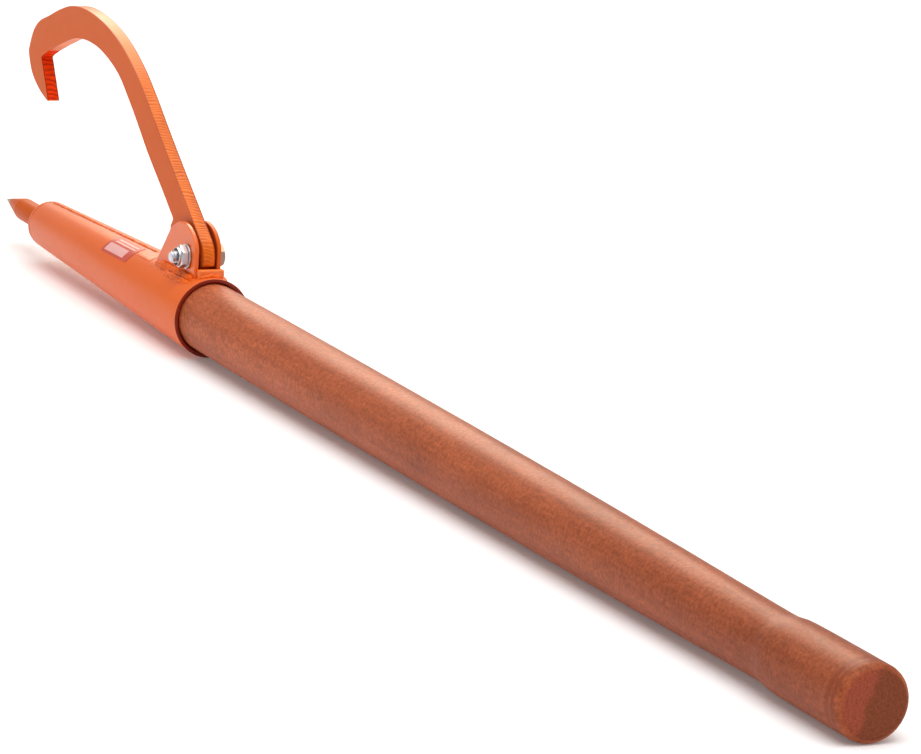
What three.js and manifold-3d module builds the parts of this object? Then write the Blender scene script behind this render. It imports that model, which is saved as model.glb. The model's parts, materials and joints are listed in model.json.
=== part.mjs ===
// Peavey: a tapered steel socket with a spike and a hinged hook, on a turned wooden handle.
// Millimetres, +Z up, +X along the handle towards the grip. The origin is the centre of the
// grip's end face. Pieces of the head are drawn from the socket's mouth, with x below zero.
import * as THREE from 'three';
import * as BufferGeometryUtils from 'three/addons/utils/BufferGeometryUtils.js';
import Module from 'manifold-3d';

const wasm = await Module();
wasm.setup();

// Driving dimensions of the whole tool
const overallLength = 1216;
const socketLength = 301;
const spikeProjection = 84;
const seatGap = 0.3;
const cutOverrun = 5;

// Handle: radii along its length, from the socket's mouth to the grip
const handleMouthRadius = 22.1;
const handleBellyRadius = 22.3;
const handleNeckRadius = 18.4;
const knobRadius = 20.1;
const knobLength = 80;
const knobFlareLength = 9;
const knobEdgeRadius = 4.6;
const tangEndClearance = 38;
const tangSeatDepth = 30;
const handleProfileShares = [[0.22, 1], [0.36, 0.94], [0.48, 0.86], [0.6, 0.71], [0.72, 0.47],
  [0.82, 0.2], [0.865, 0.07]];

// Socket
const socketMouthRadius = 25.5;
const socketEndRadius = 16.2;
const socketWall = 2.4;
const capThickness = 6;
const capRimRadius = 4;
const seamWidth = 3.4;
const seamHeight = 0.9;
const seamRearSetback = 92;

// Spike
const spikeRadius = 7.9;
const spikeConeLength = 36;
const spikeTipRadius = 0.6;
const spikeTailLength = 26;
const spikeWeldLeg = 2.4;

// Clevis: two ears and a bar across their rear
const earThickness = 3;
const clevisInnerWidth = 12;
const earRearSetback = 12;
const earHeight = 55.5;
const earFootLength = 68;
const earTopSetback = 34;
const earShoulderHeight = 40;
const earSlopeSetback = 55;
const earSlopeHeight = 48;
const earFootHeight = 20;
const earCurveShare = 0.62;
const barDepth = 4.7;
const barLength = 17.4;
const barSideShift = 1.1;
const barHeight = 29.7;
const weldRadius = 2.5;
const weldRipple = 0.35;
const weldRipplePitch = 5;
const earWeldFrontMargin = 8;
const earWeldRearMargin = 1;
const barWeldRadius = 2.1;

// Pivot, in the socket's frame
const pivotSetback = 25;
const pivotHeight = 35.25;
const boltRadius = 4;
const boltHoleClearance = 0.35;
const boltHeadFlats = 13;
const boltHeadHeight = 5.3;
const boltEndPastNut = 3.8;
const boltEndChamfer = 0.9;
const nutFlats = 13;
const nutHeight = 6;
const nutCollarHeight = 1.7;
const nutCollarRadius = 5.9;
const insertRadius = 5.2;
const insertHeight = 1.2;
const insertRecessRadius = 5.5;
const insertRecessDepth = 2.4;
const washerRadius = 8;
const washerThickness = 1.2;

// Hook: reach is pivot to nose, rise is pivot to crown. The heel is the wide rear half of the eye,
// and the shoulder is the swelling of the belly just above it.
const hookThickness = 8.4;
const hookSideShift = 0.3;
const hookReach = 319;
const hookRise = 124;
const hookEyeClearance = 0.7;
const hookHeelRadius = 14;
const hookHeelLowAngle = THREE.MathUtils.degToRad(-16);
const hookEyeLowAngle = THREE.MathUtils.degToRad(-80);
const hookShankAngle = THREE.MathUtils.degToRad(146);
const hookBackShares = [[0.193, 0.476], [0.303, 0.678], [0.378, 0.802], [0.466, 0.907], [0.56, 0.972],
  [0.66, 1], [0.748, 0.986], [0.817, 0.94], [0.889, 0.873]];
const hookNoseShares = [[0.942, 0.823], [0.976, 0.758], [0.998, 0.661], [1, 0.613], [0.976, 0.52],
  [0.933, 0.453], [0.886, 0.412]];
const hookTipShares = [0.87, 0.405];
const hookNotchShares = [[0.921, 0.632], [0.908, 0.661], [0.867, 0.684]];
const hookBellyShares = [[0.804, 0.754], [0.732, 0.813], [0.66, 0.836], [0.586, 0.827], [0.513, 0.785],
  [0.456, 0.728], [0.408, 0.649], [0.35, 0.543], [0.281, 0.407], [0.182, 0.236], [0.144, 0.168]];
const hookShoulderShares = [[0.126, 0.134], [0.1285, 0.111], [0.135, 0.086], [0.132, 0.045],
  [0.11, 0.005], [0.072, -0.028]];

// Films on the socket: distance from the mouth, and angle from the top towards the nut side
const filmThickness = 0.3;
const filmCorner = 2;
const labelRearSetback = 109;
const labelLength = 47;
const labelWidth = 16.5;
const labelAngle = THREE.MathUtils.degToRad(31);
const clearFilmRearSetback = 82.5;
const clearFilmLength = 23;
const clearFilmWidth = 9.6;
const clearFilmAngle = THREE.MathUtils.degToRad(18.5);

// Screw that keeps the handle in the socket, on the side away from the nut
const screwSetback = 45;
const screwShankRadius = 2.2;
const screwLength = 18;
const screwTipLength = 4;
const screwHeadRadius = 4.4;
const screwHeadHeight = 2.6;
const screwHeadCrownShare = 0.55;

// Facets
const roundSegments = 72;
const smallSegments = 36;
const hexSides = 6;
const curveDivisions = 4;
const filletSteps = 5;
const weldSides = 10;

// Places worked out from the sizes
const handleExposed = overallLength - socketLength - spikeProjection;
const clevisHalfWidth = clevisInnerWidth / 2 + earThickness;
const barFrontX = -earRearSetback + seatGap;
const barRearX = barFrontX + barDepth;
const nutWasherFace = -clevisHalfWidth - seatGap;
const nutFace = nutWasherFace - washerThickness - seatGap;
const nutEnd = nutFace - nutHeight;

const socketRadiusAt = (x) => THREE.MathUtils.mapLinear(
  x, -socketLength, 0, socketEndRadius, socketMouthRadius);
const surfaceHeightAt = (x, y) => Math.sqrt(socketRadiusAt(x) ** 2 - y ** 2);

// Materials, one for each piece
const finishes = {
  orange: { color: 0xe8643c, roughness: 0.42, metalness: 0.1 },
  weld: { color: 0xe06a40, roughness: 0.55, metalness: 0.1 },
  wood: { color: 0xa66a52, roughness: 0.6, metalness: 0 },
  zinc: { color: 0xc9ccd2, roughness: 0.28, metalness: 0.95 },
  nylon: { color: 0x1c222c, roughness: 0.5, metalness: 0 },
  label: { color: 0xd8483c, roughness: 0.35, metalness: 0 },
  film: { color: 0xf2a583, roughness: 0.2, metalness: 0 },
};

function makeMesh(name, geometry, finish) {
  const mesh = new THREE.Mesh(geometry, new THREE.MeshStandardMaterial(finishes[finish]));
  mesh.name = name;
  return mesh;
}

// Solids for cutting and joining
function toSolid(geometry) {
  const bare = geometry.clone();
  bare.deleteAttribute('normal');
  bare.deleteAttribute('uv');
  const merged = BufferGeometryUtils.mergeVertices(bare);
  return new wasm.Manifold(new wasm.Mesh({
    numProp: 3,
    vertProperties: merged.attributes.position.array,
    triVerts: Uint32Array.from(merged.index.array),
  }));
}

function fromSolid(solid) {
  const mesh = solid.getMesh();
  const geometry = new THREE.BufferGeometry();
  geometry.setAttribute('position', new THREE.BufferAttribute(mesh.vertProperties, 3));
  geometry.setIndex(new THREE.BufferAttribute(mesh.triVerts, 1));
  geometry.computeVertexNormals();
  return geometry;
}

const cutFrom = (geometry, ...tools) => fromSolid(
  tools.reduce((solid, tool) => solid.subtract(toSolid(tool)), toSolid(geometry)));

// Turned forms: the profile holds [distance along, radius]
function turned(profile, segments) {
  const points = profile.map(([along, radius]) => new THREE.Vector2(radius, along));
  return new THREE.LatheGeometry(points, segments);
}

const turnedAlongX = (profile, segments) => turned(profile, segments).rotateZ(-Math.PI / 2);

// A plate standing in the XZ plane, from its lower y upwards
function plateXZ(shape, thickness, lowY) {
  const settings = { depth: thickness, bevelEnabled: false, curveSegments: curveDivisions };
  const geometry = new THREE.ExtrudeGeometry(shape, settings);
  return geometry.rotateX(Math.PI / 2).translate(0, lowY + thickness, 0);
}

// The hole along Y that the pivot bolt passes through
function boltHole() {
  const radius = boltRadius + boltHoleClearance;
  const length = (clevisHalfWidth + cutOverrun) * 2;
  const geometry = new THREE.CylinderGeometry(radius, radius, length, smallSegments);
  return geometry.translate(-pivotSetback, 0, pivotHeight);
}

// The socket's outside as a solid, grown by an amount, for seating pieces on it
function socketEnvelope(growth) {
  const frontX = -socketLength - cutOverrun;
  return turnedAlongX([
    [frontX, 0],
    [frontX, socketRadiusAt(frontX) + growth],
    [cutOverrun, socketRadiusAt(cutOverrun) + growth],
    [cutOverrun, 0],
  ], roundSegments);
}

// Round bead along a list of points
function bead(points, radius, steps) {
  const section = new THREE.Shape();
  section.absarc(0, 0, radius, 0, Math.PI * 2);
  const path = new THREE.CatmullRomCurve3(points);
  return new THREE.ExtrudeGeometry(section, {
    steps, bevelEnabled: false, extrudePath: path, curveSegments: weldSides,
  });
}

function handle() {
  const mouthX = 0;
  const gripX = handleExposed;
  const knobX = gripX - knobLength;
  const neckX = knobX - knobFlareLength;
  const tangX = -socketLength + capThickness + tangEndClearance;
  const boreRadiusAt = (x) => socketRadiusAt(x) - socketWall - seatGap;
  const profile = [
    [tangX, 0],
    [tangX, boreRadiusAt(tangX)],
    [-tangSeatDepth, boreRadiusAt(-tangSeatDepth)],
    [mouthX, handleMouthRadius],
  ];
  for (const [alongShare, swellShare] of handleProfileShares) {
    const radius = THREE.MathUtils.lerp(handleNeckRadius, handleBellyRadius, swellShare);
    profile.push([handleExposed * alongShare, radius]);
  }
  profile.push([neckX, handleNeckRadius]);
  for (let step = 1; step <= filletSteps; step += 1) {
    const share = step / filletSteps;
    const ease = (1 - Math.cos(Math.PI * share)) / 2;
    const radius = THREE.MathUtils.lerp(handleNeckRadius, knobRadius, ease);
    profile.push([neckX + knobFlareLength * share, radius]);
  }
  for (let step = 0; step <= filletSteps; step += 1) {
    const angle = (Math.PI / 2) * (step / filletSteps);
    profile.push([
      gripX - knobEdgeRadius + knobEdgeRadius * Math.sin(angle),
      knobRadius - knobEdgeRadius + knobEdgeRadius * Math.cos(angle),
    ]);
  }
  profile.push([gripX, 0]);
  return cutFrom(turnedAlongX(profile, roundSegments), screwHole(screwShankRadius + seatGap));
}

// The screw stands along +Y at the side of the socket
function screwHole(radius) {
  const outerY = socketMouthRadius + cutOverrun;
  const innerY = socketRadiusAt(-screwSetback) - screwLength - seatGap;
  const geometry = new THREE.CylinderGeometry(radius, radius, outerY - innerY, smallSegments);
  return geometry.translate(-screwSetback, (outerY + innerY) / 2, 0);
}

function handleScrew() {
  const seatY = socketRadiusAt(-screwSetback) + seatGap;
  const tipY = seatY - screwLength;
  const headY = seatY + screwHeadHeight;
  const crownRadius = screwHeadRadius * screwHeadCrownShare;
  return turned([
    [tipY, 0],
    [tipY + screwTipLength, screwShankRadius],
    [seatY, screwShankRadius],
    [seatY, screwHeadRadius],
    [(seatY + headY) / 2, screwHeadRadius],
    [headY, crownRadius],
    [headY, 0],
  ], smallSegments).translate(-screwSetback, 0, 0);
}

function socketShell() {
  const frontX = -socketLength + capThickness + seatGap;
  const profile = [
    [frontX, socketRadiusAt(frontX)],
    [0, socketMouthRadius],
    [0, socketMouthRadius - socketWall],
    [frontX, socketRadiusAt(frontX) - socketWall],
    [frontX, socketRadiusAt(frontX)],
  ];
  return cutFrom(turnedAlongX(profile, roundSegments), screwHole(screwShankRadius + seatGap));
}

function socketEndCap() {
  const frontX = -socketLength;
  const rearX = frontX + capThickness;
  const boreRadius = spikeRadius + seatGap;
  const profile = [[rearX, boreRadius], [frontX, boreRadius]];
  for (let step = 0; step <= filletSteps; step += 1) {
    const angle = (Math.PI / 2) * (step / filletSteps);
    profile.push([
      frontX + capRimRadius - capRimRadius * Math.cos(angle),
      socketEndRadius - capRimRadius + capRimRadius * Math.sin(angle),
    ]);
  }
  profile.push([rearX, socketRadiusAt(rearX)], [rearX, boreRadius]);
  return turnedAlongX(profile, roundSegments);
}

function spike() {
  const tipX = -socketLength - spikeProjection;
  const coneX = tipX + spikeConeLength;
  const tailX = -socketLength + spikeTailLength;
  return turnedAlongX([
    [tipX, 0],
    [tipX, spikeTipRadius],
    [coneX, spikeRadius],
    [tailX, spikeRadius],
    [tailX, 0],
  ], roundSegments);
}

function spikeWeld() {
  const faceX = -socketLength - seatGap;
  const rootRadius = spikeRadius + seatGap;
  return turnedAlongX([
    [faceX - spikeWeldLeg, rootRadius],
    [faceX - spikeWeldLeg / 2, rootRadius + spikeWeldLeg / 2],
    [faceX, rootRadius + spikeWeldLeg],
    [faceX, rootRadius],
    [faceX - spikeWeldLeg, rootRadius],
  ], roundSegments);
}

// Flat bead that lies along the socket's top line
function seamWeld() {
  const frontX = -socketLength + capThickness + seatGap;
  const rearX = -seamRearSetback;
  const slope = (socketMouthRadius - socketEndRadius) / socketLength;
  const section = new THREE.Shape();
  section.absellipse(0, 0, seamWidth / 2, seamHeight + seatGap, 0, Math.PI, false);
  const length = (rearX - frontX) / Math.cos(Math.atan(slope));
  const settings = { depth: length, bevelEnabled: false, curveSegments: filletSteps };
  const geometry = new THREE.ExtrudeGeometry(section, settings);
  geometry.rotateX(Math.PI / 2).rotateZ(Math.PI / 2);
  geometry.rotateY(-Math.atan(slope)).translate(frontX, 0, socketRadiusAt(frontX));
  return cutFrom(geometry, socketEnvelope(seatGap));
}

function earOutline() {
  const rearX = -earRearSetback;
  const frontX = rearX - earFootLength;
  const shoulderRise = earHeight - earShoulderHeight;
  const topRun = earTopSetback - earRearSetback;
  const slopeRun = earSlopeSetback - earTopSetback;
  const topDrop = earHeight - earSlopeHeight;
  const shape = new THREE.Shape();
  shape.moveTo(rearX, earFootHeight - cutOverrun);
  shape.lineTo(rearX, earShoulderHeight);
  shape.bezierCurveTo(
    rearX, earShoulderHeight + shoulderRise * earCurveShare,
    -earTopSetback + topRun * (1 - earCurveShare), earHeight,
    -earTopSetback, earHeight);
  shape.bezierCurveTo(
    -earTopSetback - slopeRun * (1 - earCurveShare), earHeight,
    -earSlopeSetback + slopeRun * (1 - earCurveShare), earSlopeHeight + topDrop * earCurveShare,
    -earSlopeSetback, earSlopeHeight);
  shape.lineTo(frontX, earFootHeight);
  shape.lineTo(frontX, earFootHeight - cutOverrun);
  shape.closePath();
  return shape;
}

function clevisEar(lowY) {
  return cutFrom(plateXZ(earOutline(), earThickness, lowY), socketEnvelope(seatGap), boltHole());
}

function clevisCrossBar() {
  const lowZ = earFootHeight - cutOverrun;
  const block = new THREE.BoxGeometry(barDepth, barLength, barHeight - lowZ);
  block.translate(barFrontX + barDepth / 2, barSideShift, (barHeight + lowZ) / 2);
  return cutFrom(block, socketEnvelope(seatGap));
}

// Bead in the corner between an ear's outer face and the socket; side is -1 or 1
function earWeld(side) {
  const frontX = -earRearSetback - earFootLength + earWeldFrontMargin;
  const rearX = -earRearSetback - earWeldRearMargin;
  const count = Math.round((rearX - frontX) / weldRipplePitch) * 2;
  const points = [];
  for (let step = 0; step <= count; step += 1) {
    const x = THREE.MathUtils.lerp(frontX, rearX, step / count);
    const ripple = weldRipple * (step % 2 === 0 ? 1 : -1);
    const y = side * (clevisHalfWidth + weldRadius / 2 + ripple);
    points.push(new THREE.Vector3(x, y, surfaceHeightAt(x, y) + weldRadius / 2));
  }
  const slabWidth = clevisHalfWidth + seatGap;
  const slab = new THREE.BoxGeometry(socketLength, slabWidth, earHeight * 2);
  slab.translate(-socketLength / 2, side * (slabWidth / 2), 0);
  return cutFrom(bead(points, weldRadius, count), socketEnvelope(seatGap), slab);
}

// Fillet across the rear foot of the bar
function barWeld() {
  const count = Math.round(barLength / weldRipplePitch) * 2;
  const x = barRearX + barWeldRadius / 2;
  const points = [];
  for (let step = 0; step <= count; step += 1) {
    const y = barSideShift + barLength * (step / count - 1 / 2);
    const ripple = weldRipple * (step % 2 === 0 ? 1 : -1);
    points.push(new THREE.Vector3(x + ripple, y, surfaceHeightAt(x, y) + barWeldRadius / 2));
  }
  const wallX = barRearX + seatGap;
  const slab = new THREE.BoxGeometry(socketLength, clevisHalfWidth * 4, earHeight * 2);
  slab.translate(wallX - socketLength / 2, 0, 0);
  return cutFrom(bead(points, barWeldRadius, count * 2), socketEnvelope(seatGap), slab);
}

// Hook outline about the pivot: forward is -x
function hookOutline() {
  const place = ([forwardShare, upShare]) => new THREE.Vector2(
    -hookReach * forwardShare, hookRise * upShare);
  const eyeRadius = pivotHeight - socketRadiusAt(-pivotSetback) - hookEyeClearance;
  const around = (radius, angle) => new THREE.Vector2(
    radius * Math.cos(angle), radius * Math.sin(angle));
  const backAngle = hookShankAngle - Math.PI / 2;
  const bellyAngle = hookShankAngle + Math.PI / 2;
  const shape = new THREE.Shape();
  const start = around(hookHeelRadius, backAngle);
  const heelEnd = around(hookHeelRadius, hookHeelLowAngle);
  shape.moveTo(start.x, start.y);
  shape.splineThru([...hookBackShares, ...hookNoseShares, hookTipShares].map(place));
  for (const shares of hookNotchShares) {
    const corner = place(shares);
    shape.lineTo(corner.x, corner.y);
  }
  const belly = [...hookBellyShares, ...hookShoulderShares].map(place);
  shape.splineThru([...belly, around(eyeRadius, bellyAngle)]);
  shape.absarc(0, 0, eyeRadius, bellyAngle, hookEyeLowAngle + Math.PI * 2, false);
  shape.lineTo(heelEnd.x, heelEnd.y);
  shape.absarc(0, 0, hookHeelRadius, hookHeelLowAngle, backAngle, false);
  return shape;
}

function hook() {
  const lowY = hookSideShift - hookThickness / 2;
  const plate = plateXZ(hookOutline(), hookThickness, lowY);
  plate.translate(-pivotSetback, 0, pivotHeight);
  return cutFrom(plate, boltHole());
}

// Six-sided prism along Y with a flat towards +X
function hexPrism(flats, lowY, height) {
  const cornerRadius = flats / 2 / Math.cos(Math.PI / hexSides);
  const geometry = new THREE.CylinderGeometry(cornerRadius, cornerRadius, height, hexSides);
  return geometry.rotateY(Math.PI / hexSides).translate(0, lowY + height / 2, 0);
}

// Turned shape that takes the corners off a hexagon's outer end
function cornerChamfer(flats, innerY, outerY) {
  const cornerRadius = flats / 2 / Math.cos(Math.PI / hexSides);
  const overrunY = innerY - Math.sign(outerY - innerY) * cutOverrun;
  const slopeY = outerY - Math.sign(outerY - innerY) * (cornerRadius - flats / 2);
  const profile = [
    [overrunY, 0],
    [overrunY, cornerRadius + seatGap],
    [slopeY, cornerRadius + seatGap],
    [outerY, flats / 2],
    [outerY, 0],
  ];
  return turned(outerY > innerY ? profile : profile.reverse(), smallSegments);
}

function pivotBolt() {
  const headY = clevisHalfWidth + seatGap;
  const headTopY = headY + boltHeadHeight;
  const endY = nutEnd - boltEndPastNut;
  const shank = turned([
    [endY, 0],
    [endY, boltRadius - boltEndChamfer],
    [endY + boltEndChamfer, boltRadius],
    [headY + boltHeadHeight / 2, boltRadius],
    [headY + boltHeadHeight / 2, 0],
  ], smallSegments);
  const head = toSolid(hexPrism(boltHeadFlats, headY, boltHeadHeight));
  const shaped = head.intersect(toSolid(cornerChamfer(boltHeadFlats, headY, headTopY)));
  return fromSolid(shaped.add(toSolid(shank))).translate(-pivotSetback, 0, pivotHeight);
}

function lockNut() {
  const collarY = nutEnd + nutCollarHeight;
  const boreRadius = boltRadius + boltHoleClearance;
  const hex = toSolid(hexPrism(nutFlats, collarY, nutFace - collarY));
  const shaped = hex.intersect(toSolid(cornerChamfer(nutFlats, nutFace, collarY)));
  const collar = turned([
    [nutEnd, 0],
    [nutEnd, nutCollarRadius],
    [nutFace - seatGap, nutCollarRadius],
    [nutFace - seatGap, 0],
  ], smallSegments);
  const bore = turned([
    [nutEnd - cutOverrun, 0],
    [nutEnd - cutOverrun, insertRecessRadius],
    [nutEnd + insertRecessDepth, insertRecessRadius],
    [nutEnd + insertRecessDepth, boreRadius],
    [nutFace + cutOverrun, boreRadius],
    [nutFace + cutOverrun, 0],
  ], smallSegments);
  const nut = shaped.add(toSolid(collar)).subtract(toSolid(bore));
  return fromSolid(nut).translate(-pivotSetback, 0, pivotHeight);
}

// Flat ring about the pivot, from one y to another
function pivotRing(innerRadius, outerRadius, lowY, highY) {
  return turned([
    [lowY, innerRadius],
    [lowY, outerRadius],
    [highY, outerRadius],
    [highY, innerRadius],
    [lowY, innerRadius],
  ], smallSegments).translate(-pivotSetback, 0, pivotHeight);
}

function nutInsert() {
  const innerY = nutEnd + insertRecessDepth - seatGap;
  return pivotRing(boltRadius + seatGap, insertRadius, innerY - insertHeight, innerY);
}

function nutWasher() {
  return pivotRing(
    boltRadius + boltHoleClearance, washerRadius, nutWasherFace - washerThickness, nutWasherFace);
}

// A film with rounded corners that follows the socket's side
function socketFilm(rearSetback, length, width, angle) {
  const skin = toSolid(socketEnvelope(seatGap + filmThickness))
    .subtract(toSolid(socketEnvelope(seatGap)));
  const halfWidth = width / 2;
  const halfLength = length / 2;
  const outline = new THREE.Shape();
  outline.moveTo(-halfLength + filmCorner, -halfWidth);
  outline.lineTo(halfLength - filmCorner, -halfWidth);
  outline.quadraticCurveTo(halfLength, -halfWidth, halfLength, -halfWidth + filmCorner);
  outline.lineTo(halfLength, halfWidth - filmCorner);
  outline.quadraticCurveTo(halfLength, halfWidth, halfLength - filmCorner, halfWidth);
  outline.lineTo(-halfLength + filmCorner, halfWidth);
  outline.quadraticCurveTo(-halfLength, halfWidth, -halfLength, halfWidth - filmCorner);
  outline.lineTo(-halfLength, -halfWidth + filmCorner);
  outline.quadraticCurveTo(-halfLength, -halfWidth, -halfLength + filmCorner, -halfWidth);
  const settings = {
    depth: socketMouthRadius + cutOverrun, bevelEnabled: false, curveSegments: curveDivisions,
  };
  const cutter = new THREE.ExtrudeGeometry(outline, settings);
  cutter.rotateX(angle).translate(-rearSetback - halfLength, 0, 0);
  return fromSolid(skin.intersect(toSolid(cutter)));
}

const head = new THREE.Group();
head.add(
  makeMesh('handle', handle(), 'wood'),
  makeMesh('socket_shell', socketShell(), 'orange'),
  makeMesh('socket_end_cap', socketEndCap(), 'orange'),
  makeMesh('spike', spike(), 'orange'),
  makeMesh('spike_weld', spikeWeld(), 'weld'),
  makeMesh('seam_weld', seamWeld(), 'weld'),
  makeMesh('clevis_ear_near', clevisEar(-clevisHalfWidth), 'orange'),
  makeMesh('clevis_ear_far', clevisEar(clevisHalfWidth - earThickness), 'orange'),
  makeMesh('clevis_cross_bar', clevisCrossBar(), 'orange'),
  makeMesh('ear_weld_near', earWeld(-1), 'weld'),
  makeMesh('ear_weld_far', earWeld(1), 'weld'),
  makeMesh('cross_bar_weld', barWeld(), 'weld'),
  makeMesh('hook', hook(), 'orange'),
  makeMesh('pivot_bolt', pivotBolt(), 'zinc'),
  makeMesh('lock_nut', lockNut(), 'zinc'),
  makeMesh('nut_insert', nutInsert(), 'nylon'),
  makeMesh('nut_washer', nutWasher(), 'zinc'),
  makeMesh('handle_screw', handleScrew(), 'zinc'),
  makeMesh('label_film',
    socketFilm(labelRearSetback, labelLength, labelWidth, labelAngle), 'label'),
  makeMesh('clear_film',
    socketFilm(clearFilmRearSetback, clearFilmLength, clearFilmWidth, clearFilmAngle), 'film'),
);
head.position.x = -handleExposed;

const peavey = new THREE.Group();
peavey.add(head);

export default peavey;
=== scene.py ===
"""Peavey: its pieces, their finishes and a plain studio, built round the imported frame."""

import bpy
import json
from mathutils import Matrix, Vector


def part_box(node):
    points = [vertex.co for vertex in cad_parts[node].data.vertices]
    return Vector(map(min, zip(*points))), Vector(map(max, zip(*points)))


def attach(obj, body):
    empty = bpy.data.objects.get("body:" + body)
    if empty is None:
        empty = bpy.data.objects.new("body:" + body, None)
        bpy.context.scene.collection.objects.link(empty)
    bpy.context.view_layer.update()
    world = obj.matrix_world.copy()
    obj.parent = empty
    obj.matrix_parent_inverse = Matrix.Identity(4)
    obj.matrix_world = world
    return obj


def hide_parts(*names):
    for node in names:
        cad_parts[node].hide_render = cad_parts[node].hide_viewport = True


bl_info = {
    "name": "Peavey",
    "version": (1, 0, 0),
    "blender": (4, 5, 0),
    "location": "3D View > Sidebar > Peavey",
    "description": "Builds a peavey's pieces, their finishes and a plain studio",
    "category": "Object",
}

import json
import math

import bmesh
import bpy
from bpy.props import FloatProperty, FloatVectorProperty, IntProperty, PointerProperty
from mathutils import Matrix, Vector, noise
from mathutils.geometry import interpolate_bezier
from mathutils.kdtree import KDTree

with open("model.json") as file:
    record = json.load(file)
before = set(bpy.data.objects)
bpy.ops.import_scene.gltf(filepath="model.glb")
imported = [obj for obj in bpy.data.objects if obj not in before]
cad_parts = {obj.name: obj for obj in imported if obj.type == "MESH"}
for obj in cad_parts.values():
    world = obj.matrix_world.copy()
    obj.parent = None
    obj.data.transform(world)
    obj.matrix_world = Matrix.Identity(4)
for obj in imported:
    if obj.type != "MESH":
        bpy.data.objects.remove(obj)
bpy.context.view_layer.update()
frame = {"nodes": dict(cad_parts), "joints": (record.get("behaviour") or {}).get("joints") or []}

MM = 0.001
ORIGIN = Vector((0, 0, 0))
X_AXIS, Y_AXIS, Z_AXIS = Vector((1, 0, 0)), Vector((0, 1, 0)), Vector((0, 0, 1))

# Places read from the frame
MOUTH_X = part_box("socket_shell")[1].x
MOUTH_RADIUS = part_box("socket_shell")[1].z
CAP_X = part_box("socket_end_cap")[0].x
SPIKE_TIP_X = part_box("spike")[0].x
EYE_HINGE = frame["joints"][0]["pos_m"]
PIVOT = Vector((EYE_HINGE[0], 0, EYE_HINGE[2]))

# Hook outline in shares of its reach and rise from the pivot, as the solid has it
HOOK_BACK_SHARES = (
    (0.193, 0.476), (0.303, 0.678), (0.378, 0.802), (0.466, 0.907), (0.56, 0.972),
    (0.66, 1), (0.748, 0.986), (0.817, 0.94), (0.889, 0.873),
)
HOOK_NOSE_SHARES = (
    (0.942, 0.823), (0.976, 0.758), (0.998, 0.661), (1, 0.613), (0.976, 0.52),
    (0.933, 0.453), (0.886, 0.412),
)
HOOK_TIP_SHARES = (0.87, 0.405)
HOOK_BELLY_SHARES = (
    (0.804, 0.754), (0.732, 0.813), (0.66, 0.836), (0.586, 0.827), (0.513, 0.785),
    (0.456, 0.728), (0.408, 0.649), (0.35, 0.543), (0.281, 0.407), (0.182, 0.236),
    (0.144, 0.168), (0.126, 0.134), (0.1285, 0.111), (0.135, 0.086), (0.132, 0.045),
    (0.11, 0.005), (0.072, -0.028),
)
# Corners of the notch behind the tip, a little finer than the solid's
HOOK_NOTCH_SHARES = ((0.9222, 0.627), (0.9133, 0.6438), (0.879, 0.682))
# Where the arcs of the eye and the heel start and end, in degrees from +X
HOOK_BACK_ANGLE = 56
HOOK_BELLY_ANGLE = 236
HOOK_EYE_LOW_ANGLE = 280
HOOK_HEEL_LOW_ANGLE = -16

# Clevis ear, from its rear edge and its top; heights of feet are from the socket's axis
EAR_SHOULDER_DROP = 15.5 * MM
EAR_TOP_SETBACK = 22 * MM
EAR_SLOPE_SETBACK = 43 * MM
EAR_SLOPE_DROP = 7.5 * MM
EAR_CURVE_SHARE = 0.62
EAR_FOOT_HEIGHT = 22.3 * MM
EAR_FOOT_FALL_SHARE = 0.031
BAR_FOOT_HEIGHT = 22.95 * MM

# Distance between the points of a weld's pass
WELD_STEP = 0.7 * MM

# Vertices closer than this become one
JOIN_DISTANCE = 0.002 * MM

# Steps of a full turn about a small piece's own axis
FASTENER_STEPS = 64
WASHER_STEPS = 96

# Pale fields of the label: start and end along it, then across it, in shares of its size
LABEL_FIELDS = ((0.08, 0.8, 0.1, 0.5), (0.15, 0.9, 0.62, 0.68), (0.15, 0.9, 0.78, 0.84))

# Warm colour of the lights that show in reflections alone
GLOSS_LIGHT_COLOUR = (1.0, 0.78, 0.6)


# Settings

def length_setting(name, description, millimetres):
    """A length in the sidebar."""
    return FloatProperty(
        name=name, description=description, default=millimetres * MM, unit="LENGTH")


def colour_setting(name, description, *levels):
    """A colour in the sidebar."""
    return FloatVectorProperty(
        name=name, description=description, default=(*levels, 1), subtype="COLOR", size=4)


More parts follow.
